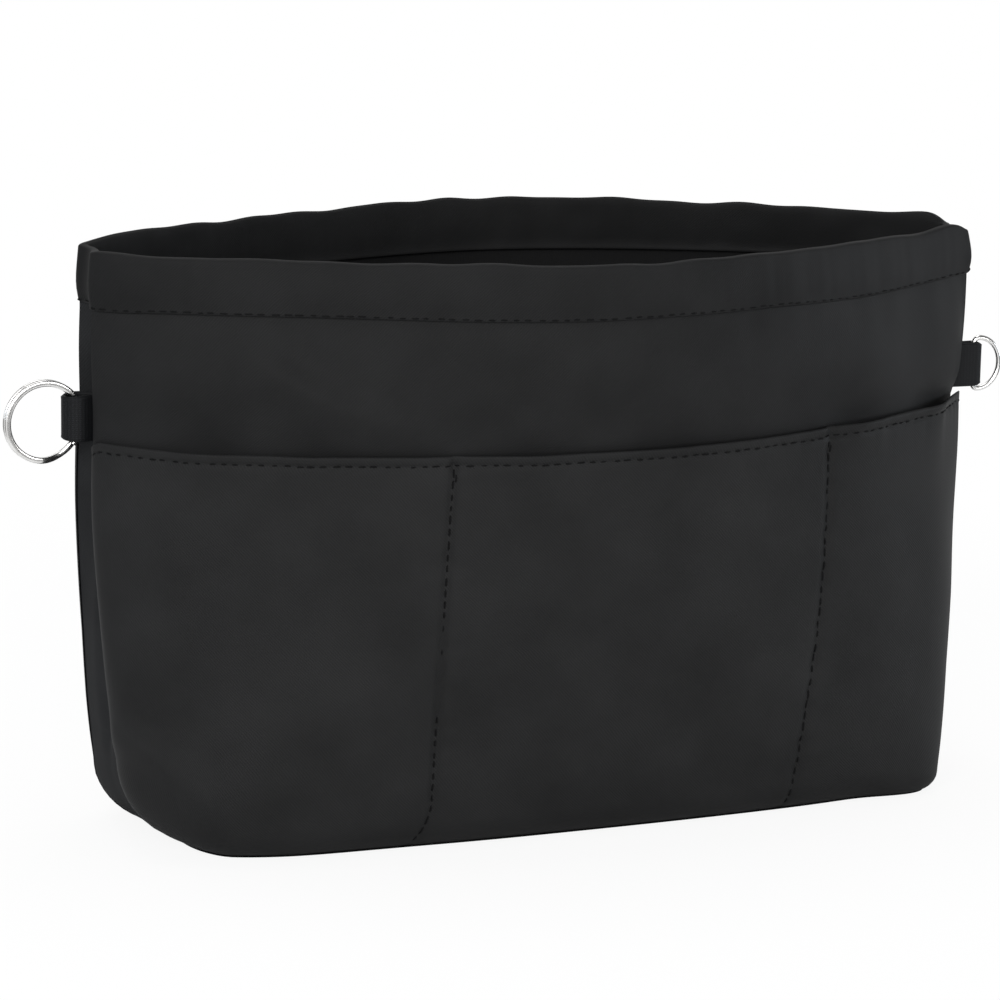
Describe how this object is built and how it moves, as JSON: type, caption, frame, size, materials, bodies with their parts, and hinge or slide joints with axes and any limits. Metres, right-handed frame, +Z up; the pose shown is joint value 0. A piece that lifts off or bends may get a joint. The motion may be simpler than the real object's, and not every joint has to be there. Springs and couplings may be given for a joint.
{
  "type": "purse organizer insert",
  "caption": "Padded black fabric handbag insert, open at the top, with flat outer pockets, a stitched rim band, folded side gussets, a tab with a split key ring and a tab with a D-ring.",
  "frame": {"origin": "middle of the underside of the base, on the surface that the insert stands on", "axes": "+X along the length, to the right as seen from the front; +Y from front to back; +Z up"},
  "size_m": [0.2918, 0.1192, 0.16],
  "materials": {
    "shell_fabric": "black satin twill",
    "gusset_fabric": "black satin twill",
    "pocket_fabric": "black satin twill",
    "band_fabric": "black satin twill",
    "lining_fabric": "black plain weave",
    "webbing": "ribbed black webbing",
    "foam": "open-cell padding",
    "board": "matte stiffener board",
    "nickel": "bright nickel plate"
  },
  "bodies": {
    "bag": {"front_panel": "shell_fabric", "back_panel": "shell_fabric", "left_gusset": "gusset_fabric", "right_gusset": "gusset_fabric", "base_panel": "shell_fabric", "front_foam": "foam", "back_foam": "foam", "left_gusset_foam": "foam", "right_gusset_foam": "foam", "base_board": "board", "front_lining": "lining_fabric", "back_lining": "lining_fabric", "left_gusset_lining": "lining_fabric", "right_gusset_lining": "lining_fabric", "base_lining": "lining_fabric", "front_pocket_panel": "pocket_fabric", "back_pocket_panel": "pocket_fabric", "front_inner_pocket": "lining_fabric", "back_inner_pocket": "lining_fabric", "rim_band": "band_fabric"},
    "left_tab": {"left_web_tab": "webbing"},
    "key_ring": {"split_key_ring": "nickel"},
    "right_tab": {"right_web_tab": "webbing"},
    "d_ring_body": {"d_ring": "nickel"}
  },
  "joints": [
    {"name": "left_tab_bend", "type": "hinge", "parent": "bag", "child": "left_tab", "pos_m": [-0.12225, 0, 0.116], "axis": [0, 0, 1], "range_deg": [-25, 25]},
    {"name": "key_ring_swing", "type": "hinge", "parent": "left_tab", "child": "key_ring", "pos_m": [-0.12905, 0, 0.116], "axis": [0, 0, 1], "range_deg": [-65, 65]},
    {"name": "right_tab_bend", "type": "hinge", "parent": "bag", "child": "right_tab", "pos_m": [0.12218, 0, 0.1172], "axis": [0, 0, 1], "range_deg": [-28, 28]},
    {"name": "d_ring_swing", "type": "hinge", "parent": "right_tab", "child": "d_ring_body", "pos_m": [0.13378, 0, 0.1172], "axis": [0, 0, 1], "range_deg": [-75, 75]}
  ]
}
